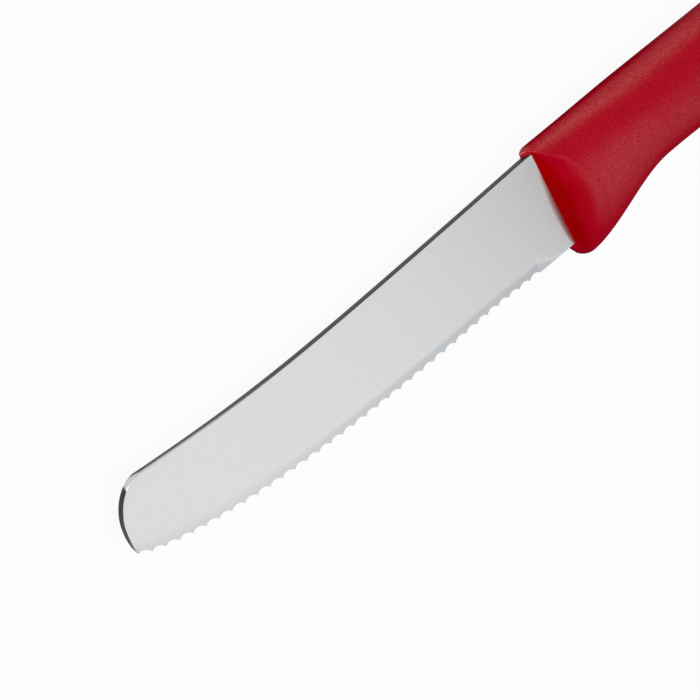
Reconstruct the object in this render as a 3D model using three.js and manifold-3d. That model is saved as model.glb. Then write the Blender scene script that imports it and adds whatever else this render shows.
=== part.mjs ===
// Snack knife: a serrated steel blade whose tang is moulded into a one-piece plastic handle.
// Millimetres. The knife lies on its right side: X runs to the tip, Y from the spine to the edge
// and Z up out of the blade's left face. Sizes are taken from the heel corner at the spine.
import * as THREE from 'three';
import { mergeVertices } from 'three/addons/utils/BufferGeometryUtils.js';
import Module from 'manifold-3d';

const wasm = await Module();
wasm.setup();

// Blade sheet and outline
const sheet = 1.1;
const bladeLength = 110;
const heelHeight = 22.4;
const heelSlant = THREE.MathUtils.degToRad(14.8);
const spineDrop = 0.2; // the spine at the heel stands this much above the corner
const spineDip = 1.4; // pull of the hollow in the middle of the spine
const spineDipStart = 65; // reach of the hollow from the heel
const spineDipEnd = 35; // reach of the hollow from the tip
const spineRise = 1.8; // lift of the spine at the tip
const tipRound = 5.5; // length of the rounded upper corner of the tip
const tipShoulder = 5.2; // depth at which the tip runs square
const tipDepth = 10.65; // depth of the pointed lower corner of the tip
const tipLean = 0.75; // how far that corner lies back

// Serrated edge
const plainHeel = 4.4; // smooth edge in front of the heel corner
const plainTip = 0.65; // and behind the lower corner of the tip
const groundDip = 0.62; // the serrated line lies this far inside the smooth heel
const groundRun = 16; // length over which it gets there
const bellyReach = 64; // pull of the straight stretch along the belly
const bellySag = 0.42; // and how far it swells out
const tipSweep = 2; // pull of the upward sweep at the tip
const toothPitch = 3.11;
const toothLand = 0.14; // blunt tip left between two scallops
const scallopDepth = 0.95;
const wheelTilt = THREE.MathUtils.degToRad(62); // serrating wheel, off the blade's normal
const grindWidth = 3.6;
const grindBelly = 0.35; // share of the grind's depth reached half way to the edge
const grindLeft = 0.2; // taken off the left face at the edge
const grindRight = 0.55; // and off the right face
const grindFade = 14; // the grind runs out of the sheet over this length at the heel

// Tang, hidden in the handle
const rootDepth = 3; // full-height steel behind the heel line
const tangTop = 3.6;
const tangHeight = 11;
const tangLength = 78;
const tangCorner = 3;
const anchorDiameter = 5.2;
const anchorFirst = 26; // from the heel to the first anchor hole
const anchorPitch = 32;

// Handle, sizes given as distances back from the heel line
const handleLength = 110;
const handleTop = 1.3; // top line above the heel corner
const handleDroop = THREE.MathUtils.degToRad(1); // fall of the top line towards the butt
const guardDrop = 4.1; // lowest point of the guard below the blade's edge
const guardBack = 2;
const recessDepth = 20.2;
const recessBack = 28;
const swellDepth = 21.8;
const swellBack = 64;
const waistDepth = 20.8;
const waistBack = 88;
const hookDepth = 23.6;
const hookBack = 107;
const guardHalf = 6.6; // half thickness at the guard
const palmHalf = 7; // half thickness at the palm
const palmBack = 28;
const palmRun = 40; // length of the even palm
const buttHalf = 6.4;
const buttRound = 7; // round of the butt along and down the handle
const buttSide = 4.2; // and across its thickness
const lobeRise = 10.5; // height of the round that sweeps the guard's lower front corner up
const browRound = 1; // round of the upper front corner
const crownPower = 1.72; // roundness of the upper half of the section: below 2 is a soft ridge
const bellyPower = 2.05; // and of the lower half: above 2 is fuller than an ellipse
const noseAngle = THREE.MathUtils.degToRad(30); // nose round the blade, against the blade
const noseRadius = 0.3;
const browAngle = THREE.MathUtils.degToRad(32.5); // front facets against the blade, near the spine
const facetAngle = THREE.MathUtils.degToRad(68); // lower down, and at their foot all along the blade
const twistStart = 5.5; // depths between which the facets twist
const twistEnd = 15.5;
const footRise = 0.7; // height of the steep foot above the blade, near the spine
const footTall = 2.3; // and lower down
const footStart = 2; // depths between which the foot grows
const footEnd = 8;
const footRound = 0.8;
const hollowRound = 0.25; // softness of the hollow between nose and foot
const shoulderHeight = 5.95; // height above the blade at which a facet has rounded over into the flank
const shoulderRadius = 5.7;

// Clearances and mesh fineness
const fit = 0.3; // between steel and plastic round the tang's outline
const margin = 2; // overshoot of cutting bodies
const ringPoints = 48;
const ringStep = 2.6;
const endSteps = 8;
const curveSteps = 24;
const frontSteps = 16;
const frontRings = 24;
const grindSteps = 48;
const scallopSteps = 8;
const weld = 1e-4; // points closer than this are one point

const shear = Math.tan(heelSlant);
const guardDepth = heelHeight + guardDrop;
const apexAhead = sheet / Math.tan(noseAngle);
const lead = apexAhead + noseRadius;

// Joining and cutting of closed bodies
function solidOf(geometry) {
  const bare = geometry.index ? geometry.toNonIndexed() : geometry.clone();
  bare.deleteAttribute('normal');
  bare.deleteAttribute('uv');
  const merged = mergeVertices(bare, weld);
  return new wasm.Manifold(new wasm.Mesh({
    numProp: 3,
    vertProperties: new Float32Array(merged.attributes.position.array),
    triVerts: new Uint32Array(merged.index.array),
  }));
}

function geometryOf(solid) {
  const mesh = solid.getMesh();
  const geometry = new THREE.BufferGeometry();
  geometry.setAttribute('position', new THREE.BufferAttribute(new Float32Array(mesh.vertProperties), 3));
  geometry.setIndex(new THREE.BufferAttribute(new Uint32Array(mesh.triVerts), 1));
  geometry.computeVertexNormals();
  return geometry;
}

// Closed body through rings of points, with flat caps on the first and last ring
function loft(rings) {
  const count = rings[0].length;
  const positions = rings.flat().flatMap((point) => [point.x, point.y, point.z]);
  const faces = [];
  for (let r = 0; r + 1 < rings.length; r += 1) {
    for (let i = 0; i < count; i += 1) {
      const a = r * count + i;
      const b = r * count + ((i + 1) % count);
      faces.push(a, b, b + count, a, b + count, a + count);
    }
  }
  const last = (rings.length - 1) * count;
  for (let i = 1; i + 1 < count; i += 1) {
    faces.push(0, i + 1, i, last, last + i, last + i + 1);
  }
  const geometry = new THREE.BufferGeometry();
  geometry.setAttribute('position', new THREE.Float32BufferAttribute(positions, 3));
  geometry.setIndex(faces);
  return geometry;
}

function plate(shape, thickness) {
  return new THREE.ExtrudeGeometry(shape, {
    depth: thickness, bevelEnabled: false, curveSegments: curveSteps,
  });
}

// Point on a line parallel to the heel, at a distance behind the heel line
function behindHeel(back, depth) {
  return new THREE.Vector2(-back - shear * depth, depth);
}

// Line of the tooth tips, from the smooth heel to the lower corner of the tip
function toothLine() {
  const ground = heelHeight - groundDip;
  const start = new THREE.Vector2(plainHeel, heelHeight);
  const settled = new THREE.Vector2(plainHeel + groundRun, ground);
  const corner = new THREE.Vector2(bladeLength - tipLean, tipDepth);
  const line = new THREE.CurvePath();
  line.add(new THREE.CubicBezierCurve(
    start,
    new THREE.Vector2(plainHeel + groundRun / 3, heelHeight),
    new THREE.Vector2(settled.x - groundRun / 3, ground),
    settled,
  ));
  line.add(new THREE.CubicBezierCurve(
    settled,
    new THREE.Vector2(settled.x + bellyReach, ground + bellySag),
    new THREE.Vector2(corner.x, corner.y + tipSweep),
    corner,
  ));
  return line;
}

function toothTips() {
  const line = toothLine();
  const share = 1 - plainTip / line.getLength();
  const teeth = Math.round(line.getLength() * share / toothPitch);
  return Array.from({ length: teeth + 1 }, (_, i) => line.getPointAt(share * i / teeth));
}

function anchorCentres() {
  const depth = tangTop + tangHeight / 2;
  return [anchorFirst, anchorFirst + anchorPitch].map((back) => new THREE.Vector2(-back, depth));
}

// Outline of the sheet in front of the handle's nose, before grinding
function bladeOutline() {
  const frontTop = behindHeel(-lead, -spineDrop);
  const frontBottom = behindHeel(-lead, heelHeight);
  const shape = new THREE.Shape();
  shape.moveTo(frontTop.x, frontTop.y);
  shape.bezierCurveTo(
    spineDipStart, spineDip,
    bladeLength - spineDipEnd, spineDip,
    bladeLength - tipRound, -spineRise,
  );
  shape.absellipse(
    bladeLength - tipRound, tipShoulder,
    tipRound, tipShoulder + spineRise,
    -Math.PI / 2, 0, false, 0,
  );
  shape.quadraticCurveTo(bladeLength, (tipShoulder + tipDepth) / 2, bladeLength - tipLean, tipDepth);
  toothTips().reverse().forEach((tip) => shape.lineTo(tip.x, tip.y));
  shape.lineTo(frontBottom.x, frontBottom.y);
  return shape;
}

// Outline of the sheet inside the handle: the full-height root and the tang with its anchor holes
function tangOutline() {
  const tangBottom = tangTop + tangHeight;
  const start = behindHeel(-lead, -spineDrop);
  const corners = [
    behindHeel(-lead, heelHeight), behindHeel(rootDepth, heelHeight), behindHeel(rootDepth, tangBottom),
  ];
  const shoulderTop = behindHeel(rootDepth, tangTop);
  const rootTop = behindHeel(rootDepth, -spineDrop);
  const shape = new THREE.Shape();
  shape.moveTo(start.x, start.y);
  corners.forEach((corner) => shape.lineTo(corner.x, corner.y));
  shape.lineTo(-tangLength + tangCorner, tangBottom);
  shape.quadraticCurveTo(-tangLength, tangBottom, -tangLength, tangBottom - tangCorner);
  shape.lineTo(-tangLength, tangTop + tangCorner);
  shape.quadraticCurveTo(-tangLength, tangTop, -tangLength + tangCorner, tangTop);
  shape.lineTo(shoulderTop.x, shoulderTop.y);
  shape.lineTo(rootTop.x, rootTop.y);
  anchorCentres().forEach((centre) => {
    const hole = new THREE.Path();
    hole.absarc(centre.x, centre.y, anchorDiameter / 2, 0, Math.PI * 2, true);
    shape.holes.push(hole);
  });
  return shape;
}

// Body that grinds one face down to the edge; side 1 works the left face, -1 the right
function grindCutter(side) {
  const line = toothLine();
  const stations = line.getSpacedPoints(grindSteps);
  const first = new THREE.Vector2(plainHeel - grindFade, heelHeight);
  const ending = stations.at(-1).clone().add(line.getTangent(1).multiplyScalar(margin * 2));
  const face = side > 0 ? sheet : 0;
  const bite = side > 0 ? grindLeft : grindRight;
  const rings = [first, ...stations, ending].map((point) => {
    const faded = Math.max(0, (plainHeel - point.x) / grindFade);
    const lift = 2 * bite * faded; // the body hangs clear of the sheet at the end of the fade
    const slope = bite * (1 - grindBelly) / (grindWidth / 2);
    const at = (offset, level) => new THREE.Vector3(point.x, point.y + offset, face + side * level);
    const ring = [
      at(-grindWidth, margin),
      at(-grindWidth, lift),
      at(-grindWidth / 2, lift - bite * grindBelly),
      at(margin, lift - bite - slope * margin),
      at(margin, margin),
    ];
    return side > 0 ? ring : ring.reverse();
  });
  return solidOf(loft(rings));
}

// Body that the tilted wheel sweeps between two tooth tips, hollowing the right face
function scallopCutter(tip, next) {
  const along = new THREE.Vector3(next.x - tip.x, next.y - tip.y, 0);
  const chord = along.length() - toothLand;
  along.normalize();
  const outward = new THREE.Vector3(-along.y, along.x, 0);
  const up = new THREE.Vector3(0, 0, 1);
  const axis = up.clone().multiplyScalar(Math.cos(wheelTilt));
  axis.addScaledVector(outward, Math.sin(wheelTilt));
  const across = new THREE.Vector3().crossVectors(axis, along);
  const sag = scallopDepth * Math.cos(wheelTilt);
  const radius = (chord * chord / 4 + sag * sag) / (2 * sag);
  const half = Math.asin(chord / 2 / radius);
  const profile = new THREE.Shape();
  profile.absarc(0, radius - sag, radius, -Math.PI / 2 - half, -Math.PI / 2 + half, false);
  profile.lineTo(chord / 2, sag + margin);
  profile.lineTo(-chord / 2, sag + margin);
  const reach = margin / Math.cos(wheelTilt);
  const sweep = new THREE.ExtrudeGeometry(profile, {
    depth: reach * 2, bevelEnabled: false, curveSegments: scallopSteps,
  });
  sweep.translate(0, 0, -reach);
  const place = new THREE.Matrix4().makeBasis(along, across, axis);
  place.setPosition((tip.x + next.x) / 2, (tip.y + next.y) / 2, sheet - grindLeft);
  return solidOf(sweep.applyMatrix4(place));
}

function blade() {
  let solid = solidOf(plate(bladeOutline(), sheet)).add(solidOf(plate(tangOutline(), sheet)));
  solid = solid.subtract(grindCutter(1)).subtract(grindCutter(-1));
  const tips = toothTips();
  for (let i = 0; i + 1 < tips.length; i += 1) {
    solid = solid.subtract(scallopCutter(tips[i], tips[i + 1]));
  }
  const steel = new THREE.MeshStandardMaterial({ color: 0xc9cbcc, roughness: 0.32, metalness: 1 });
  const mesh = new THREE.Mesh(geometryOf(solid), steel);
  mesh.name = 'blade';
  return mesh;
}

// Value at a distance back from the heel, levelling out at each key
function eased(keys, back) {
  if (back <= keys[0][0]) return keys[0][1];
  for (let i = 1; i < keys.length; i += 1) {
    const [from, low] = keys[i - 1];
    const [to, high] = keys[i];
    if (back <= to) return low + (high - low) * THREE.MathUtils.smoothstep(back, from, to);
  }
  return keys.at(-1)[1];
}

// Share of full size left by a quarter round of the given length, at a distance from its end
function rounded(distance, length) {
  const run = THREE.MathUtils.clamp(distance / length, 0, 1);
  return Math.sqrt(1 - (1 - run) * (1 - run));
}

// Oval section of the handle on a plane parallel to the heel line
function handleRing(back) {
  const bottomKeys = [
    [guardBack, guardDepth], [recessBack, recessDepth], [swellBack, swellDepth],
    [waistBack, waistDepth], [hookBack, hookDepth],
  ];
  const halfKeys = [
    [0, guardHalf], [palmBack, palmHalf], [palmBack + palmRun, palmHalf], [handleLength, buttHalf],
  ];
  const butt = rounded(handleLength - back, buttRound);
  const lobe = lobeRise * (1 - rounded(back + lead, guardBack + lead));
  const brow = browRound * (1 - rounded(back + lead, browRound));
  const top = back * Math.tan(handleDroop) - handleTop + brow;
  const bottom = eased(bottomKeys, back) - lobe;
  const middle = (top + bottom) / 2;
  const depth = (bottom - top) / 2 - buttRound * (1 - butt);
  const half = eased(halfKeys, back) - buttSide * (1 - butt);
  const ring = [];
  for (let i = 0; i < ringPoints; i += 1) {
    const angle = (i / ringPoints) * Math.PI * 2;
    const power = Math.cos(angle) > 0 ? crownPower : bellyPower;
    const bend = (value) => Math.sign(value) * Math.abs(value) ** (2 / power);
    const y = middle - depth * bend(Math.cos(angle));
    const x = -back - shear * y;
    ring.push(new THREE.Vector3(x, y, half * bend(Math.sin(angle))));
  }
  return ring;
}

// Distances back at which the handle's sections stand, closer together on its rounded ends
function handleStations() {
  const stations = [];
  for (let i = 0; i < endSteps; i += 1) {
    stations.push((guardBack + lead) * (i / endSteps) ** 2 - lead);
  }
  const run = handleLength - buttRound - guardBack;
  const steps = Math.round(run / ringStep);
  for (let i = 0; i < steps; i += 1) {
    stations.push(guardBack + run * (i / steps));
  }
  for (let i = 0; i < endSteps; i += 1) {
    stations.push(handleLength - buttRound * (1 - Math.sin((i / endSteps) * Math.PI / 2)));
  }
  return [...stations, handleLength];
}

function handleBody() {
  return solidOf(loft(handleStations().map(handleRing)));
}

// How far the handle's front stands ahead of the heel line, at a depth and a distance to the side
function frontReach(depth, side) {
  const { lerp, smoothstep } = THREE.MathUtils;
  const [nose, brow, facet] = [noseAngle, browAngle, facetAngle].map((angle) => 1 / Math.tan(angle));
  const foot = lerp(footRise, footTall, smoothstep(depth, footStart, footEnd));
  const lean = lerp(brow, facet, smoothstep(depth, twistStart, twistEnd));
  const rise = Math.hypot(side, noseRadius / nose) - sheet;
  const hollow = (nose - facet) / 2 * (Math.hypot(rise, hollowRound) - hollowRound);
  const bent = rise + Math.hypot(rise - foot, footRound) - Math.hypot(foot, footRound);
  const knee = (lean - facet) / 2 * bent;
  const slope = Math.atan(1 / lean);
  const over = Math.max(0, rise - shoulderHeight + shoulderRadius * (1 - Math.cos(slope)));
  const turn = Math.acos(Math.min(1, Math.cos(slope) + over / shoulderRadius));
  const shoulder = shoulderRadius * (Math.sin(slope) - Math.sin(turn)) - lean * over;
  return hollow - (nose + facet) / 2 * rise - knee - shoulder;
}

// Bow-shaped body whose front is the handle's front, with a nose and two twisted facets
function bow() {
  const half = palmHalf + margin;
  const rings = [];
  for (let r = 0; r <= frontRings; r += 1) {
    const depth = THREE.MathUtils.lerp(guardDepth + margin, -handleTop - margin, r / frontRings);
    const tail = -handleLength - margin - shear * depth;
    const ring = [];
    for (let i = -frontSteps; i <= frontSteps; i += 1) {
      const side = half * i / frontSteps;
      ring.push(new THREE.Vector3(frontReach(depth, side) - shear * depth, depth, side));
    }
    rings.push([...ring, new THREE.Vector3(tail, depth, half), new THREE.Vector3(tail, depth, -half)]);
  }
  return solidOf(loft(rings));
}

// Room for the root and tang, with plastic pegs left standing through the anchor holes
function tangSlot() {
  const tangBottom = tangTop + tangHeight;
  const shape = new THREE.Shape();
  const back = rootDepth + fit;
  const front = -apexAhead - margin;
  const corners = [
    behindHeel(front, -spineDrop - fit), behindHeel(front, heelHeight + fit),
    behindHeel(back, heelHeight + fit), behindHeel(back, tangBottom + fit),
    new THREE.Vector2(-tangLength - fit, tangBottom + fit),
    new THREE.Vector2(-tangLength - fit, tangTop - fit),
    behindHeel(back, tangTop - fit), behindHeel(back, -spineDrop - fit),
  ];
  shape.setFromPoints(corners);
  anchorCentres().forEach((centre) => {
    const peg = new THREE.Path();
    peg.absarc(centre.x, centre.y, anchorDiameter / 2 - fit, 0, Math.PI * 2, true);
    shape.holes.push(peg);
  });
  return solidOf(plate(shape, sheet));
}

function handle() {
  const solid = handleBody().intersect(bow()).subtract(tangSlot());
  const plastic = new THREE.MeshStandardMaterial({ color: 0xb0101a, roughness: 0.55, metalness: 0 });
  const mesh = new THREE.Mesh(geometryOf(solid), plastic);
  mesh.name = 'handle';
  return mesh;
}

// The knife rests on the ground plane, centred over the origin
const knife = new THREE.Group();
knife.add(blade(), handle());
const box = new THREE.Box3().setFromObject(knife);
const centre = box.getCenter(new THREE.Vector3());
knife.position.set(-centre.x, -centre.y, -box.min.z);

export default knife;
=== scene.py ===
import bisect
import math
import bmesh
import bpy
from mathutils import Matrix, Vector


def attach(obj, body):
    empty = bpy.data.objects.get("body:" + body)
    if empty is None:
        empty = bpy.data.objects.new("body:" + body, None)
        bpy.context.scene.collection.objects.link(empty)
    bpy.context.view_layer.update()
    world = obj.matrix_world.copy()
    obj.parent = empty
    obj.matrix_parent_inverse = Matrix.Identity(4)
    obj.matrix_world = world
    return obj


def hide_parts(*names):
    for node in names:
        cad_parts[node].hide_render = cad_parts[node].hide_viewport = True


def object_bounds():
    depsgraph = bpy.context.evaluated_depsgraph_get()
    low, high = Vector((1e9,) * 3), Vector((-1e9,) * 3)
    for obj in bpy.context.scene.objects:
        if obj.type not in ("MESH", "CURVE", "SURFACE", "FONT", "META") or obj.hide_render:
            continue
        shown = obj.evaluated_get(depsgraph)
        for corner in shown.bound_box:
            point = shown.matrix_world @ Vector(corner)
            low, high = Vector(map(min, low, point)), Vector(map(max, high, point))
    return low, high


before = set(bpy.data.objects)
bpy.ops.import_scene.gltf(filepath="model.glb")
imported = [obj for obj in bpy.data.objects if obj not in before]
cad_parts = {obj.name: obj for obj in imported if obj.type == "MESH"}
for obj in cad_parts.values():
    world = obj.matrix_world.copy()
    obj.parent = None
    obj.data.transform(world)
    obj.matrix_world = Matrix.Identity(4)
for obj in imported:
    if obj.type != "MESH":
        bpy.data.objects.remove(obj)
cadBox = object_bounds()  # the box of the solids, before any piece is added
scene = bpy.context.scene
scene.view_settings.view_transform = "Standard"
print("frame loaded:", ", ".join(sorted(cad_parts)))

# all sizes in mm from the heel corner at the spine: X to the tip, Y to the edge, Z out of the left face
bladeSpec = dict(
    sheet=1.1, length=110, heelHeight=22.4, heelSlant=14.8, rootDepth=3,
    spineDrop=0.2, spineDip=1.4, spineDipStart=65, spineDipEnd=35, spineRise=1.8, spineStart=2.25,
    tipRound=5.5, tipShoulder=5.2, tipDepth=10.65, tipLean=0.75,
    plainHeel=4.4, plainTip=0.65, groundDip=0.62, groundRun=16, bellyReach=64, bellySag=0.42, tipSweep=2,
    toothPitch=3.11, scallopDepth=0.95, wheelTilt=62, wheelReach=(3, 5),  # limits of the search for its cut
    grindWidth=3.6, grindLeft=0.2, grindRight=0.55, grindCurve=1.6, grindFade=7,
    tangTop=3.6, tangHeight=11, tangLength=78, tangCorner=3,
    anchorRadius=2.6, anchorBacks=(26, 58), anchorBar=4,
    edgeRound=0.12, tipBow=12, sharpAngle=24,
    spineSteps=60, tipSteps=40, groundSteps=40, bellySteps=160,  # points on the curves
    heelSteps=12, startStep=0.02, toothSteps=12, endMarks=(0.45, 0.3, 0.2, 0.12, 0.05, 0.0),  # columns
    spineRows=(0, 0.015, 0.04, 0.075), wheelRows=5, plainRow=0.92,  # the flat ends this near a plain edge
    flatRows=(0, 0.08, 0.3, 0.42, 0.55, 0.74, 0.8, 0.85, 0.88, 0.91, 0.93, 0.95, 0.97, 0.985, 1),
)
heelShear = math.tan(math.radians(bladeSpec["heelSlant"]))
heelCorner = Vector((
    cadBox[1].x - bladeSpec["length"] / 1000,
    cadBox[0].y + bladeSpec["spineRise"] / 1000,
    (cadBox[0].z + cadBox[1].z) / 2,
))
mergeDistance = 1e-7  # m
cutterSharp = 30  # degrees


def put(x, y, z):  # mm from the heel corner to metres in the frame
    return heelCorner + Vector((x, y, z)) / 1000


def clamped(value):
    return min(1.0, max(0.0, value))


def softStep(low, high, value):
    t = clamped((value - low) / (high - low))
    return t * t * (3 - 2 * t)


def onBezier(points, t):
    while len(points) > 1:
        points = [a.lerp(b, t) for a, b in zip(points, points[1:])]
    return points[0]


def crossing(gap, low, high):  # where gap falls from above nought to below it
    for _ in range(40):
        middle = (low + high) / 2
        if gap(middle) > 0:
            low = middle
        else:
            high = middle
    return (low + high) / 2


class Path:  # a line of points that gives its place at any distance along it
    def __init__(self, points):
        self.points = points
        self.marks = [0.0]
        for a, b in zip(points, points[1:]):
            self.marks.append(self.marks[-1] + (b - a).length)
        self.length = self.marks[-1]

    def at(self, distance):
        i = min(max(1, bisect.bisect_left(self.marks, distance)), len(self.points) - 1)
        t = (distance - self.marks[i - 1]) / (self.marks[i] - self.marks[i - 1])
        return self.points[i - 1].lerp(self.points[i], t)


def finishMesh(bm, name, sharpAngle):
    bmesh.ops.remove_doubles(bm, verts=bm.verts[:], dist=mergeDistance)
    bmesh.ops.dissolve_degenerate(bm, edges=bm.edges[:], dist=mergeDistance)
    bmesh.ops.recalc_face_normals(bm, faces=bm.faces[:])
    mesh = bpy.data.meshes.new(name)
    bm.to_mesh(mesh)
    bm.free()
    mesh.shade_smooth()
    mesh.set_sharp_from_angle(angle=math.radians(sharpAngle))
    piece = bpy.data.objects.new(name, mesh)
    scene.collection.objects.link(piece)
    return piece


def cutAway(piece, tool, sharpAngle):  # takes the tool's shape out of the piece
    cut = piece.modifiers.new("cut", "BOOLEAN")
    cut.operation = "DIFFERENCE"
    cut.solver = "EXACT"
    cut.object = tool
    seen = piece.evaluated_get(bpy.context.evaluated_depsgraph_get())
    mesh = bpy.data.meshes.new_from_object(seen)
    old = piece.data
    piece.modifiers.clear()
    piece.data = mesh
    bpy.data.meshes.remove(old)
    bpy.data.objects.remove(tool)
    mesh.name = piece.name
    mesh.shade_smooth()
    mesh.set_sharp_from_angle(angle=math.radians(sharpAngle))


# blade
def spinePath(s):
    points = [Vector((-s["rootDepth"] + heelShear * s["spineDrop"], -s["spineDrop"]))]
    hollow = [
        Vector((s["spineStart"], -s["spineDrop"])),
        Vector((s["spineDipStart"], s["spineDip"])),
        Vector((s["length"] - s["spineDipEnd"], s["spineDip"])),
        Vector((s["length"] - s["tipRound"], -s["spineRise"])),
    ]
    points += [onBezier(hollow, i / s["spineSteps"]) for i in range(s["spineSteps"])]
    for i in range(s["tipSteps"] + 1):  # quarter ellipse round the upper corner of the tip
        angle = math.pi / 2 * i / s["tipSteps"]
        points.append(Vector((
            s["length"] - s["tipRound"] * (1 - math.sin(angle)),
            s["tipShoulder"] - (s["tipShoulder"] + s["spineRise"]) * math.cos(angle),
        )))
    return Path(points)


def toothPath(s):
    ground = s["heelHeight"] - s["groundDip"]
    start = Vector((s["plainHeel"], s["heelHeight"]))
    settled = Vector((s["plainHeel"] + s["groundRun"], ground))
    corner = Vector((s["length"] - s["tipLean"], s["tipDepth"]))
    third = s["groundRun"] / 3
    heel = [start, start + Vector((third, 0)), settled - Vector((third, 0)), settled]
    belly = [
        settled, Vector((settled.x + s["bellyReach"], ground + s["bellySag"])),
        Vector((corner.x, corner.y + s["tipSweep"])), corner,
    ]
    points = [onBezier(heel, i / s["groundSteps"]) for i in range(s["groundSteps"])]
    points += [onBezier(belly, i / s["bellySteps"]) for i in range(s["bellySteps"] + 1)]
    return Path(points)


def groundShare(s, d, x):  # how much of the full grind is taken at d from the edge
    faded = max(0.0, (s["plainHeel"] - x) / s["grindFade"])
    return max(0.0, clamped(1 - d / s["grindWidth"]) ** s["grindCurve"] - faded)


def wheelColumn(s, pitch, x, phase):  # where the serrating wheel leaves the edge and the right face
    tilt = math.radians(s["wheelTilt"])
    sag = s["scallopDepth"] * math.cos(tilt)
    radius = (pitch * pitch / 4 + sag * sag) / (2 * sag)
    a = phase * pitch / 2
    hollow = sag - radius + math.sqrt(radius * radius - a * a)
    leftReach, rightReach = s["wheelReach"]

    def level(d):
        return s["sheet"] - s["grindLeft"] - (d * math.cos(tilt) - hollow) / math.sin(tilt)

    def overLeft(d):
        return level(d) - s["sheet"] + s["grindLeft"] * groundShare(s, d, x)

    def overRight(d):
        return level(d) - s["grindRight"] * groundShare(s, d, x)

    return level, crossing(overLeft, 0, leftReach), crossing(overRight, 0, rightReach)


def bladeColumns(s):  # each column: foot on the edge line, distance along it, wheel phase or None
    line = toothPath(s)
    serrated = line.length - s["plainTip"]
    teeth = round(serrated / s["toothPitch"])
    pitch = serrated / teeth
    back = -s["rootDepth"] - heelShear * s["heelHeight"]
    plain = s["plainHeel"] - back
    heelMarks = [plain * i / s["heelSteps"] for i in range(s["heelSteps"])] + [plain - s["startStep"]]
    columns = [(Vector((back + q, s["heelHeight"])), q, None) for q in heelMarks]
    marks = [pitch * i / s["toothSteps"] for i in range(teeth * s["toothSteps"] + 1)]
    marks += [line.length - extra for extra in s["endMarks"]]  # for the rounded end
    for mark in sorted(marks):
        phase = 2 * (mark / pitch - min(math.floor(mark / pitch + 1e-6), teeth - 1)) - 1
        columns.append((line.at(mark), plain + mark, max(-1.0, min(1.0, phase))))
    return columns, pitch


def anchorBar(s, back, radius):  # round cutter across the sheet at an anchor hole
    bm = bmesh.new()
    spot = put(-back, s["tangTop"] + s["tangHeight"] / 2, s["sheet"] / 2)
    bmesh.ops.create_cone(
        bm, cap_ends=True, segments=48, radius1=radius / 1000, radius2=radius / 1000,
        depth=s["anchorBar"] / 1000, matrix=Matrix.Translation(spot),
    )
    return finishMesh(bm, "anchor_cutter", cutterSharp)


def drawTang(bm, s):  # drawn out of the back of the root, with its end corners rounded
    near, touching = 0.01, 1e-6  # mm, m
    top, bottom = s["tangTop"], s["tangTop"] + s["tangHeight"]

    def onRootBack(v):
        p = (v.co - heelCorner) * 1000
        return abs(p.x + s["rootDepth"] + heelShear * p.y) < near and top - near < p.y < bottom + near

    rootBack = [f for f in bm.faces if all(onRootBack(v) for v in f.verts)]
    drawn = bmesh.ops.extrude_face_region(bm, geom=rootBack)
    bmesh.ops.delete(bm, geom=rootBack, context="FACES_ONLY")
    ends = {v for v in drawn["geom"] if isinstance(v, bmesh.types.BMVert)}
    for v in ends:
        v.co.x = put(-s["tangLength"], 0, 0).x
    low, high = min(v.co.y for v in ends), max(v.co.y for v in ends)
    corners = [
        e for e in bm.edges
        if e.verts[0] in ends and e.verts[1] in ends
        and abs(e.verts[0].co.y - e.verts[1].co.y) < touching
        and min(abs(e.verts[0].co.y - low), abs(e.verts[0].co.y - high)) < touching
    ]
    bmesh.ops.bevel(
        bm, geom=corners, offset=s["tangCorner"] / 1000, segments=5, profile=0.5,
        affect="EDGES", material=-1,
    )


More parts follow.
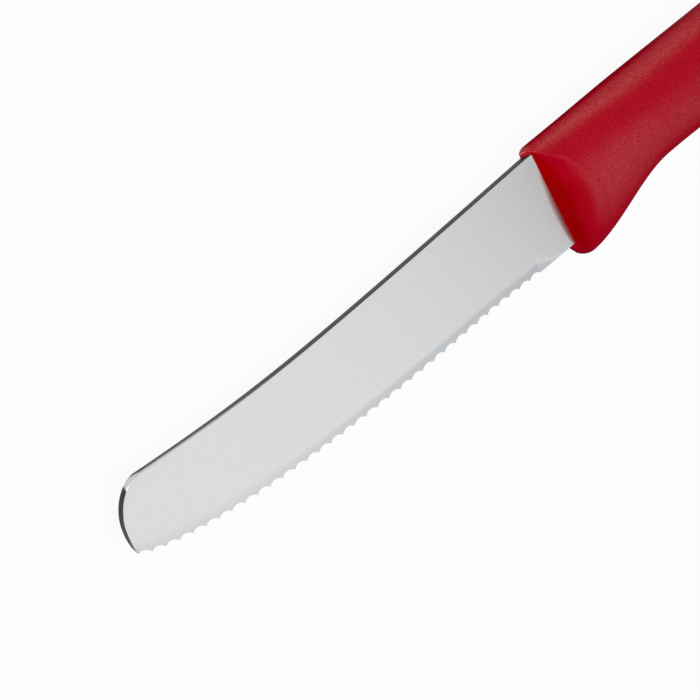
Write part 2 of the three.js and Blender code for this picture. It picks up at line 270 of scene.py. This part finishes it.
def makeBlade(s):
    columns, pitch = bladeColumns(s)
    spine = spinePath(s)
    reach = columns[-1][1]
    run = s["heelHeight"] + s["spineDrop"] - s["plainRow"] - s["edgeRound"]
    tangEdges = (s["tangTop"], s["tangTop"] + s["tangHeight"])
    flatRows = sorted(list(s["flatRows"]) + [(y + s["spineDrop"] - s["edgeRound"]) / run for y in tangEdges])
    spineRows = s["spineRows"]
    wheelStart = len(spineRows) + len(flatRows)
    total = wheelStart + s["wheelRows"]

    bm = bmesh.new()
    groundLayer = bm.verts.layers.float.new("ground")
    rimLayer = bm.verts.layers.float.new("rim")
    bmesh.ops.create_grid(bm, x_segments=len(columns) - 1, y_segments=total - 1, size=0.5)
    sides = bmesh.ops.extrude_face_region(bm, geom=bm.faces[:], use_keep_orig=True)
    leftVerts = {v for v in sides["geom"] if isinstance(v, bmesh.types.BMVert)}
    tipTop, tipCorner = spine.at(spine.length), columns[-1][0]
    tipPull = Vector((s["length"], (s["tipShoulder"] + s["tipDepth"]) / 2))

    for v in bm.verts:
        i = round((v.co.x + 0.5) * (len(columns) - 1))
        k = round((v.co.y + 0.5) * (total - 1))
        foot, q, phase = columns[i]
        top = spine.at(spine.length * q / reach)
        tall = (foot - top).length
        level, edge, rim = None, 0.0, s["plainRow"]
        if phase is not None:
            level, edge, rim = wheelColumn(s, pitch, foot.x, phase)
        if k < len(spineRows):
            d = tall - spineRows[k]
        elif k < wheelStart:
            d = rim + (tall - s["edgeRound"] - rim) * (1 - flatRows[k - len(spineRows)])
        else:
            d = rim + (edge - rim) * (k - wheelStart + 1) / s["wheelRows"]
        t = 1 - d / tall
        place = top.lerp(foot, t)
        bow = onBezier([tipTop, tipPull, tipCorner], t) - tipTop.lerp(tipCorner, t)
        place += bow * (q / reach) ** s["tipBow"]
        taken = groundShare(s, d, foot.x)
        left = s["sheet"] - s["grindLeft"] * taken
        right = s["grindRight"] * taken
        if level and k >= wheelStart - 1:
            right = min(left, max(right, level(d)))
        inset = min(tall - d, reach - q)
        if inset < s["edgeRound"]:  # spine and tip have their edges rounded
            r = s["edgeRound"]
            v[rimLayer] = 1 - inset / r
            drop = (r - math.sqrt(r * r - (r - inset) ** 2)) * clamped((left - right) / s["sheet"])
            left, right = left - drop, right + drop
        v[groundLayer] = taken
        v.co = put(place.x, place.y, left if v in leftVerts else right)

    bm.normal_update()
    drawTang(bm, s)
    piece = finishMesh(bm, "snack_blade", s["sharpAngle"])
    for back in s["anchorBacks"]:
        cutAway(piece, anchorBar(s, back, s["anchorRadius"]), s["sharpAngle"])
    return piece


# handle
handleSpec = dict(
    length=109.97, top=1.3, droop=1, guardDrop=4.1, guardBack=2,
    belly=((28, 20.2), (64, 21.8), (88, 20.8), (107, 23.6)),  # distance back, depth
    halves=((0, 6.6), (28, 7), (68, 7), (110, 6.4)),  # distance back, half thickness
    buttRound=7, buttSide=4.2, lobeRise=10.5, browRound=1, crownPower=1.72, bellyPower=2.05,
    noseAngle=30, noseRadius=0.3, browAngle=32.5, facetAngle=68, lowAngle=75, lowTurn=(11, 19),
    twist=(5.5, 15.5), footRise=(0.7, 3.2), footGrow=(2, 9), footRound=1.5, hollowRound=0.25,
    shoulderHeight=5.95, shoulderRadius=5.7, tight=0.02, slotLead=4,
    crestCrisp=0.7, crestSoft=2.6, crestGuard=1.6, softTurn=(22, 100), guardTurn=(125, 172), crestLimit=0.8,
    grainEdge=(0.5, 0.8), grainLobe=(21, 24),
    noseGloss=1.8, noseDepth=(-0.3, 0.3), noseWide=(0.9, 1.6),
    crestGloss=0.7, crestShine=(0.05, 0.9), flankShine=(0, 2.5),
    dullRidge=0.98, ridgeTurn=(-60, -35, -3, 17), dullBelly=0.92, bellyTurn=(90, 132), dullEnd=(30, 90),
    ringPoints=144, ringCrowd=0.36, poleDepth=9.5, frontRows=26, crestRows=10,
    flankRows=70, flankCrowd=1.4, buttRows=12, hubRows=(0.35, 0.7, 1.0), sharpAngle=40,
)


def eased(keys, back):  # value at a distance back, levelling out at each key
    if back <= keys[0][0]:
        return keys[0][1]
    for (low, a), (high, b) in zip(keys, keys[1:]):
        if back <= high:
            return a + (b - a) * softStep(low, high, back)
    return keys[-1][1]


def quarterRound(distance, length):
    run = clamped(distance / length)
    return math.sqrt(1 - (1 - run) * (1 - run))


def noseLead(h):
    return bladeSpec["sheet"] / math.tan(math.radians(h["noseAngle"])) + h["noseRadius"]


def handleSection(h, back):  # middle, half height and half thickness
    lead = noseLead(h)
    guard = bladeSpec["heelHeight"] + h["guardDrop"]
    butt = quarterRound(h["length"] - back, h["buttRound"])
    lobe = h["lobeRise"] * (1 - quarterRound(back + lead, h["guardBack"] + lead))
    brow = h["browRound"] * (1 - quarterRound(back + lead, h["browRound"]))
    top = back * math.tan(math.radians(h["droop"])) - h["top"] + brow
    bottom = eased(((h["guardBack"], guard),) + h["belly"], back) - lobe
    tall = (bottom - top) / 2 - h["buttRound"] * (1 - butt)
    return (top + bottom) / 2, tall, eased(h["halves"], back) - h["buttSide"] * (1 - butt)


def onSection(h, back, angle):  # depth and side of a point on the oval section
    middle, tall, half = handleSection(h, back)
    power = h["crownPower"] if math.cos(angle) > 0 else h["bellyPower"]
    c, n = math.cos(angle), math.sin(angle)
    y = middle - tall * math.copysign(abs(c) ** (2 / power), c)
    z = half * math.copysign(abs(n) ** (2 / power), n)
    return y, z


def frontReach(h, y, z):  # how far the nose and the twisted facets stand ahead of the heel line
    nose, brow = (1 / math.tan(math.radians(h[k])) for k in ("noseAngle", "browAngle"))
    steep = h["facetAngle"] + (h["lowAngle"] - h["facetAngle"]) * softStep(*h["lowTurn"], y)
    facet = 1 / math.tan(math.radians(steep))
    lean = brow + (facet - brow) * softStep(*h["twist"], y)
    rise = math.hypot(z, h["noseRadius"] / nose) - bladeSpec["sheet"]
    hollow = (nose - facet) / 2 * (math.hypot(rise, h["hollowRound"]) - h["hollowRound"])
    low, tall = h["footRise"]
    foot, soft = low + (tall - low) * softStep(*h["footGrow"], y), h["footRound"]
    knee = (lean - facet) / 2 * (rise + math.hypot(rise - foot, soft) - math.hypot(foot, soft))
    slope, bend = math.atan(1 / lean), h["shoulderRadius"]
    over = max(0.0, rise - h["shoulderHeight"] + bend * (1 - math.cos(slope)))
    turn = math.acos(min(1.0, math.cos(slope) + over / bend))
    shoulder = bend * (math.sin(slope) - math.sin(turn)) - lean * over
    return hollow - (nose + facet) / 2 * rise - knee - shoulder


def handlePoint(h, back, angle):
    y, z = onSection(h, back, angle)
    return Vector((-back - heelShear * y, y, z))


def frontPoint(h, y, z):
    return Vector((frontReach(h, y, z) - heelShear * y, y, z))


def crestBack(h, angle):  # where the front facet meets the flank on one meridian, closing in by halves
    back = 0.0
    for _ in range(50):
        back = 0.5 * back - 0.5 * frontReach(h, *onSection(h, back, angle))
    return back


def grainStart(h, y, z):  # share of grain on the front, growing towards the flank and on the lobe
    middle, tall, half = handleSection(h, h["guardBack"])
    power = h["crownPower"] if y < middle else h["bellyPower"]
    wide = half * (1 - clamped(abs(middle - y) / tall) ** power) ** (1 / power)
    near = softStep(*h["grainEdge"], abs(z) / max(wide, 0.1))
    return max(near, softStep(*h["grainLobe"], y))


def dullness(h, angle, turn):  # the ridge's right side and the belly have less sheen
    start, full, fading, end = h["ridgeTurn"]
    signed = turn if math.sin(angle) > 0 else -turn
    ridge = softStep(start, full, signed) * (1 - softStep(fading, end, signed))
    return h["dullRidge"] * ridge + h["dullBelly"] * softStep(*h["bellyTurn"], turn)


def meridian(h, angle):  # points, grain and gloss from the nose over the crest and flank to the butt
    turn = math.degrees(math.pi - abs(math.pi - angle % (2 * math.pi)))  # from the ridge, either way
    crest = crestBack(h, angle)
    cy, cz = onSection(h, crest, angle)
    wide = h["crestCrisp"] + (h["crestSoft"] - h["crestCrisp"]) * softStep(*h["softTurn"], turn)
    wide += (h["crestGuard"] - wide) * softStep(*h["guardTurn"], turn)
    dull = dullness(h, angle, turn)
    pole = h["poleDepth"]
    whole = 1 - min(h["crestLimit"], wide / math.hypot(cy - pole, cz))  # share of the front before the crest
    points = []
    for i in range(h["frontRows"]):
        share = whole * i / h["frontRows"]
        y, z = pole + (cy - pole) * share, cz * share
        nose = h["noseGloss"] * softStep(*h["noseDepth"], -y) * (1 - softStep(*h["noseWide"], abs(z)))
        points.append((frontPoint(h, y, z), grainStart(h, y, z), nose))
    grained = points[-1][1]
    inner = frontPoint(h, pole + (cy - pole) * whole, cz * whole)
    corner, outer = handlePoint(h, crest, angle), handlePoint(h, crest + wide, angle)
    for i in range(h["crestRows"]):
        t = i / h["crestRows"]
        gloss = max(nose, h["crestGloss"] * softStep(*h["crestShine"], t) * (1 - dull))
        points.append((onBezier([inner, corner, outer], t), max(gloss, grained + (1 - grained) * t), gloss))
    first, last = crest + wide, h["length"] - h["buttRound"]
    for i in range(h["flankRows"]):
        run = (last - first) * (i / h["flankRows"]) ** h["flankCrowd"]
        rising = softStep(*h["flankShine"], run)
        gloss = h["crestGloss"] + (1 - h["crestGloss"]) * rising
        gloss *= 1 - dull * (1 - softStep(*h["dullEnd"], run))
        points.append((handlePoint(h, first + run, angle), 1.0, max(nose * (1 - rising), gloss)))
    for i in range(h["buttRows"] + 1):
        run = math.sin(math.pi / 2 * i / h["buttRows"])
        points.append((handlePoint(h, h["length"] - h["buttRound"] * (1 - run), angle), 1.0, 1.0))
    end = points[-1][0]
    middle = handleSection(h, h["length"])[0]
    hub = Vector((-h["length"] - heelShear * middle, middle, 0))
    return points + [(end.lerp(hub, t), 1.0, 1.0) for t in h["hubRows"]]


def slotCutter(h, s):  # room for root and tang, pegs left standing through the anchor holes
    gap = h["tight"]

    def corner(back, depth):
        return (-back - heelShear * depth, depth)

    top, bottom = -s["spineDrop"] - gap, s["heelHeight"] + gap
    tangTop, tangBottom = s["tangTop"] - gap, s["tangTop"] + s["tangHeight"] + gap
    front, back, end = -h["slotLead"], s["rootDepth"] + gap, -s["tangLength"] - gap
    outline = [
        corner(front, top), corner(front, bottom), corner(back, bottom), corner(back, tangBottom),
        (end, tangBottom), (end, tangTop), corner(back, tangTop), corner(back, top),
    ]
    bm = bmesh.new()
    face = bm.faces.new([bm.verts.new(put(x, y, -gap)) for x, y in outline])
    raised = bmesh.ops.extrude_face_region(bm, geom=[face], use_keep_orig=True)
    bmesh.ops.translate(
        bm, vec=Vector((0, 0, (s["sheet"] + 2 * gap) / 1000)),
        verts=[v for v in raised["geom"] if isinstance(v, bmesh.types.BMVert)],
    )
    tool = finishMesh(bm, "slot_cutter", cutterSharp)
    for peg in s["anchorBacks"]:
        cutAway(tool, anchorBar(s, peg, s["anchorRadius"] - gap), cutterSharp)
    return tool


def makeHandle(h, s):
    bm = bmesh.new()
    grainLayer, glossLayer = (bm.verts.layers.float.new(name) for name in ("grain", "gloss"))
    turns = []
    for i in range(h["ringPoints"]):  # closer together along the parting line
        even = 2 * math.pi * i / h["ringPoints"]
        turns.append(even - h["ringCrowd"] * math.sin(2 * even))
    meridians = [meridian(h, a) for a in turns]
    rows = len(meridians[0])
    bmesh.ops.create_grid(bm, x_segments=h["ringPoints"], y_segments=rows - 1, size=0.5)
    for v in bm.verts:
        i = round((v.co.x + 0.5) * h["ringPoints"]) % h["ringPoints"]
        k = round((v.co.y + 0.5) * (rows - 1))
        place, v[grainLayer], v[glossLayer] = meridians[i][k]
        v.co = put(*place)
    piece = finishMesh(bm, "snack_handle", h["sharpAngle"])
    cutAway(piece, slotCutter(h, s), h["sharpAngle"])
    return piece


blade = makeBlade(bladeSpec)
print("blade made:", len(blade.data.polygons), "faces")
handle = makeHandle(handleSpec, bladeSpec)
print("handle made:", len(handle.data.polygons), "faces")


# shader maths as plain expressions
class Wire:
    def __init__(self, tree, socket=None):
        self.tree, self.socket = tree, socket

    def node(self, kind, settings=None, output=0, **sockets):  # i0, i6 and such name a socket by its place
        made = self.tree.nodes.new(kind)
        for name, value in (settings or {}).items():
            setattr(made, name, value)
        for name, value in sockets.items():
            spot = int(name[1:]) if name[1:].isdigit() else name.replace("_", " ")
            if isinstance(value, Wire):
                self.tree.links.new(value.socket, made.inputs[spot])
            else:
                made.inputs[spot].default_value = value
        return Wire(self.tree, made.outputs[output])

    def maths(self, operation, first, second):
        return self.node("ShaderNodeMath", {"operation": operation}, i0=first, i1=second)

    def __add__(self, other):
        return self.maths("ADD", self, other)

    def __radd__(self, other):
        return self.maths("ADD", other, self)

    def __sub__(self, other):
        return self.maths("SUBTRACT", self, other)

    def __rsub__(self, other):
        return self.maths("SUBTRACT", other, self)

    def __mul__(self, other):
        return self.maths("MULTIPLY", self, other)

    def __rmul__(self, other):
        return self.maths("MULTIPLY", other, self)

    def mixed(self, low, high):  # this value as the factor between two colours
        return self.node(
            "ShaderNodeMix", {"data_type": "RGBA"}, output=2, i0=self, i6=low, i7=high,
        )

    def ranged(self, low, high, toLow=0.0, toHigh=1.0):
        return self.node(
            "ShaderNodeMapRange", {"interpolation_type": "SMOOTHSTEP"},
            i0=self, i1=low, i2=high, i3=toLow, i4=toHigh,
        )


def newMaterial(name):
    material = bpy.data.materials.new(name)
    material.use_nodes = True
    tree = material.node_tree
    shader = tree.nodes["Principled BSDF"]
    return material, Wire(tree), shader


def feed(wire, shader, **sockets):
    for name, value in sockets.items():
        spot = shader.inputs[name.replace("_", " ")]
        if isinstance(value, Wire):
            wire.tree.links.new(value.socket, spot)
        else:
            spot.default_value = value


def layer(wire, name):  # a value kept on the mesh's points
    return wire.node("ShaderNodeAttribute", {"attribute_name": name}, output="Fac")


def noise(wire, scale, detail=2.0, roughness=0.5):  # on object coordinates, with a scale for each axis
    spot = wire.node("ShaderNodeTexCoord", output="Object")
    spot = wire.node("ShaderNodeMapping", Vector=spot, Scale=scale)
    return wire.node("ShaderNodeTexNoise", Vector=spot, Scale=1.0, Detail=detail, Roughness=roughness)


steelLook = dict(
    face=(0.62, 0.628, 0.63, 1), faceLow=0.98, toneRange=(0.3, 0.7),
    ground=(0.485, 0.499, 0.521, 1), groundRange=(0.05, 0.36), groundEnd=(30, 95), groundLeft=0.25,
    # edge colours: the spine and tip are painted dark as a painted dark reflection, darkest on the tip's
    # end; the lines streak that painted shade
    edge=(0.05, 0.054, 0.054, 1), shadedTipEdge=(0.026, 0.028, 0.028, 1), edgeRange=(0.0, 0.35), edgeLines=0.1,
    # painted highlight on the dark edges: it runs along the spine up to the tip's corner and ends before the
    # tip's end
    paintedHighlight=((55, 103, 0.4), (103.5, 106.4, 0.95)), paintedHighlightEnd=(106.8, 108.3), paintedHighlightSlant=0.45,
    paintedHighlightRange=(1.0, 1.45),
    strokes=(9000, 260, 400), strokeShare=0.7, cloud=(55, 80, 60), lines=(300, 300, 9000),
    roughness=0.27, roughSpread=0.03, edgeRoughness=0.45, bumpStrength=0.007, bumpHeight=0.00001,
)


def satinSteel(look):
    material, wire, shader = newMaterial("satin_steel")
    strokes = noise(wire, look["strokes"], detail=3.0, roughness=0.6)
    cloud, lines = noise(wire, look["cloud"]), noise(wire, look["lines"])
    ground, rim = layer(wire, "ground"), layer(wire, "rim")
    spot = wire.node("ShaderNodeTexCoord", output="Object")
    along, level = (wire.node("ShaderNodeSeparateXYZ", output=axis, Vector=spot) for axis in "XZ")

    def run(start, end, toLow, toHigh):  # between two distances from the heel
        return along.ranged(put(start, 0, 0).x, put(end, 0, 0).x, toLow, toHigh)

    # the ground band clears up towards the tip
    zone = ground.ranged(*look["groundRange"]) * run(*look["groundEnd"], 1.0, look["groundLeft"])
    share = look["strokeShare"]
    tone = (share * strokes + (1 - share) * cloud).ranged(*look["toneRange"])
    faceLow = tuple(c * look["faceLow"] for c in look["face"][:3]) + (1,)
    sides = zone.mixed(tone.mixed(faceLow, look["face"]), look["ground"])

    # the spine and tip are painted dark, a painted dark reflection standing in for the shade they reflect,
    # and a painted highlight lightens them from the left face and along the spine down towards the tip's
    # corner
    (start, middle, half), (turn, corner, rest) = look["paintedHighlight"]
    slant, foot = look["paintedHighlightSlant"], put(0, 0, 0)
    ended = (along + slant * level).ranged(*(put(x, 0, 0).x + slant * foot.z for x in look["paintedHighlightEnd"]))
    # painted highlight: the dark edge turns lighter along the spine towards the tip, brightest near the
    # tip's upper corner on the left-face side, and not on the tip's end
    glintShare = (run(start, middle, 0.0, half) + run(turn, corner, 0.0, rest)) * (1.0 - ended)
    height = level.ranged(foot.z, put(0, 0, bladeSpec["sheet"]).z)
    shadedEdge = ended.mixed(look["edge"], look["shadedTipEdge"])
    edge = (height + glintShare).ranged(*look["paintedHighlightRange"]).mixed(shadedEdge, look["face"])
    # the painted dark colour covers the rounded spine and tip edges
    dark = rim.ranged(*look["edgeRange"]) * (1 - look["edgeLines"] + look["edgeLines"] * lines)

    rough = look["roughness"] + look["roughSpread"] * (strokes + cloud - 1.0)
    rough = rough + (look["edgeRoughness"] - look["roughness"]) * rim
    bump = wire.node(
        "ShaderNodeBump", Strength=look["bumpStrength"], Distance=look["bumpHeight"], Height=strokes,
    )
    feed(wire, shader, Base_Color=dark.mixed(sides, edge), Roughness=rough, Metallic=1.0, Normal=bump)
    return material


plasticLook = dict(
    deepRed=(0.33, 0.0003, 0.0006, 1), softRed=(0.335, 0.0005, 0.0016, 1),
    red=(0.34, 0.001, 0.013, 1), paleRed=(0.42, 0.002, 0.022, 1), grainTint=(0.55, 0.3),
    coarse=(3600, 3600, 3600), coarseShare=0.6, fine=(8200, 8200, 8200), speckRange=(0.36, 0.64),
    cloud=(70, 110, 110), cloudRange=(0.3, 0.7), facetPits=0.12, bumpStrength=0.8, bumpHeight=0.00012,
    facetRoughness=0.42, grainRoughness=0.5, speckSpread=0.08, cloudSpread=0.05, specular=0.0,
    gloss=(0.06, 0.36), glossRoughness=0.32, glossIndex=2.2,
)


def grainedPlastic(look):
    material, wire, shader = newMaterial("grained_red_plastic")
    grain, gloss = layer(wire, "grain"), layer(wire, "gloss")
    coarse, fine = noise(wire, look["coarse"]), noise(wire, look["fine"], detail=1.0)
    cloud = noise(wire, look["cloud"])
    texture = look["coarseShare"] * coarse + (1 - look["coarseShare"]) * fine
    pits = texture * (look["facetPits"] + (1 - look["facetPits"]) * grain)
    speck = texture.ranged(*look["speckRange"])
    grained = speck.mixed(look["red"], look["paleRed"])
    plain = cloud.ranged(*look["cloudRange"]).mixed(look["deepRed"], look["softRed"])
    tint, clouded = look["grainTint"]
    colour = (grain * (tint + clouded * cloud)).mixed(plain, grained)
    rough = look["facetRoughness"] + (look["grainRoughness"] - look["facetRoughness"]) * grain
    rough = rough + look["speckSpread"] * (speck - 0.5) * grain + look["cloudSpread"] * (cloud - 0.5)
    bump = wire.node(
        "ShaderNodeBump", Strength=look["bumpStrength"], Distance=look["bumpHeight"], Height=pits,
    )
    low, high = look["gloss"]
    feed(
        wire, shader, Base_Color=colour, Roughness=rough, Normal=bump, Specular_IOR_Level=look["specular"],
        Coat_Weight=gloss * (low + (high - low) * speck), Coat_Roughness=look["glossRoughness"],
        Coat_IOR=look["glossIndex"],
    )
    return material


blade.data.materials.append(satinSteel(steelLook))
handle.data.materials.append(grainedPlastic(plasticLook))
for piece, node, slot in ((blade, "blade", "blade_steel"), (handle, "handle", "handle_plastic")):
    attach(piece, "root")
    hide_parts(node)
print("finishes set")


# floor, lights and camera: lengths in metres, aims in mm from the heel corner
studioSpec = dict(
    floorSize=6.0, floorColour=(0.62, 0.62, 0.62, 1), floorRoughness=0.9, floorWhite=0.94,
    worldLow=0.14, worldHigh=0.05, worldRange=(0.05, 0.4),
    skyWhite=0.8, skyRange=(0.5, 0.8), skyLean=0.35,  # the white backdrop stands higher beyond the tip
    aim=(40, 9, 0),
    lamps=(  # name, direction from the knife, which way its height runs, distance, size, watts, colour
        ("key_softbox", (0.36, -0.34, 0.87), (0, 0, 1), 1.1, (0.45, 0.45), 12.1, (1, 1, 1)),
        ("blade_panel", (-0.424, 0.42, 0.80), (0, -0.9, 0.44), 0.9, (0.57, 0.8), 1.66, (1, 1, 1)),
        ("side_strip", (-0.56, -0.74, 0.37), (0, 0, 1), 0.9, (0.5, 0.3), 0.6, (1, 0.95, 0.6)),
    ),
)


def whiteRays(wire):  # 1 for the rays that see the white backdrop
    kinds = ("Is Camera Ray", "Is Glossy Ray", "Is Transmission Ray")
    seen, gloss, through = (wire.node("ShaderNodeLightPath", output=kind) for kind in kinds)
    return seen + gloss + through


def makeFloor(studio):
    bm = bmesh.new()
    bmesh.ops.create_grid(bm, x_segments=1, y_segments=1, size=studio["floorSize"] / 2)
    mesh = bpy.data.meshes.new("pale_floor")
    bm.to_mesh(mesh)
    bm.free()
    floor = bpy.data.objects.new("pale_floor", mesh)
    scene.collection.objects.link(floor)
    material, wire, shader = newMaterial("pale_floor")
    feed(
        wire, shader, Base_Color=studio["floorColour"], Roughness=studio["floorRoughness"],
        Specular_IOR_Level=0.0,
    )
    white = wire.node("ShaderNodeEmission", Strength=1.0, Color=(1, 1, 1, 1))
    share = studio["floorWhite"] * whiteRays(wire)
    mixed = wire.node("ShaderNodeMixShader", i0=share, i1=Wire(wire.tree, shader.outputs[0]), i2=white)
    wire.tree.links.new(mixed.socket, wire.tree.nodes["Material Output"].inputs[0])
    mesh.materials.append(material)


def makeWorld(studio):
    world = bpy.data.worlds.new("studio_walls")
    world.use_nodes = True
    scene.world = world
    wire = Wire(world.node_tree)
    spot = wire.node("ShaderNodeTexCoord", output="Generated")
    tipward, height = (wire.node("ShaderNodeSeparateXYZ", output=axis, Vector=spot) for axis in "XZ")
    room = height.ranged(*studio["worldRange"], studio["worldLow"], studio["worldHigh"])
    sky = (height - studio["skyLean"] * tipward).ranged(*studio["skyRange"], studio["skyWhite"], 0.0)
    level = room + sky * whiteRays(wire)
    back = world.node_tree.nodes["Background"]
    wire.tree.links.new(level.socket, back.inputs["Strength"])
    back.inputs["Color"].default_value = (1, 1, 1, 1)


def makeLamps(studio):
    middle = put(*studio["aim"])
    for name, direction, rising, distance, size, watts, colour in studio["lamps"]:
        data = bpy.data.lights.new(name, "AREA")
        data.shape = "RECTANGLE"
        data.size, data.size_y = size
        data.energy, data.color = watts, colour
        lamp = bpy.data.objects.new(name, data)
        towards = Vector(direction).normalized()
        across = Vector(rising).cross(towards).normalized()
        turn = Matrix((across, towards.cross(across), towards)).transposed().to_4x4()
        lamp.matrix_world = Matrix.Translation(middle + towards * distance) @ turn
        scene.collection.objects.link(lamp)


viewSpec = dict(
    azimuth=46.668, elevation=39.757, roll=105.439, distance=0.55, aim=(53.791, 7.114, 1.1),
    focalPixels=3233.5, pixels=700, sensor=36, clip=(0.01, 50),
)


def makeCamera(view):
    a, e, r = (math.radians(view[k]) for k in ("azimuth", "elevation", "roll"))
    back = Vector((math.sin(a) * math.cos(e), -math.cos(a) * math.cos(e), math.sin(e)))
    level = Vector((math.cos(a), math.sin(a), 0))
    rise = back.cross(level)
    across = math.cos(r) * level + math.sin(r) * rise
    upward = math.cos(r) * rise - math.sin(r) * level
    data = bpy.data.cameras.new("photo_camera")
    data.sensor_width = view["sensor"]
    data.lens = view["sensor"] * view["focalPixels"] / view["pixels"]
    data.clip_start, data.clip_end = view["clip"]
    camera = bpy.data.objects.new("photo_camera", data)
    turn = Matrix((across, upward, back)).transposed().to_4x4()
    camera.matrix_world = Matrix.Translation(put(*view["aim"]) + back * view["distance"]) @ turn
    scene.collection.objects.link(camera)
    scene.camera = camera


makeFloor(studioSpec)
makeWorld(studioSpec)
makeLamps(studioSpec)
makeCamera(viewSpec)
print("studio set")
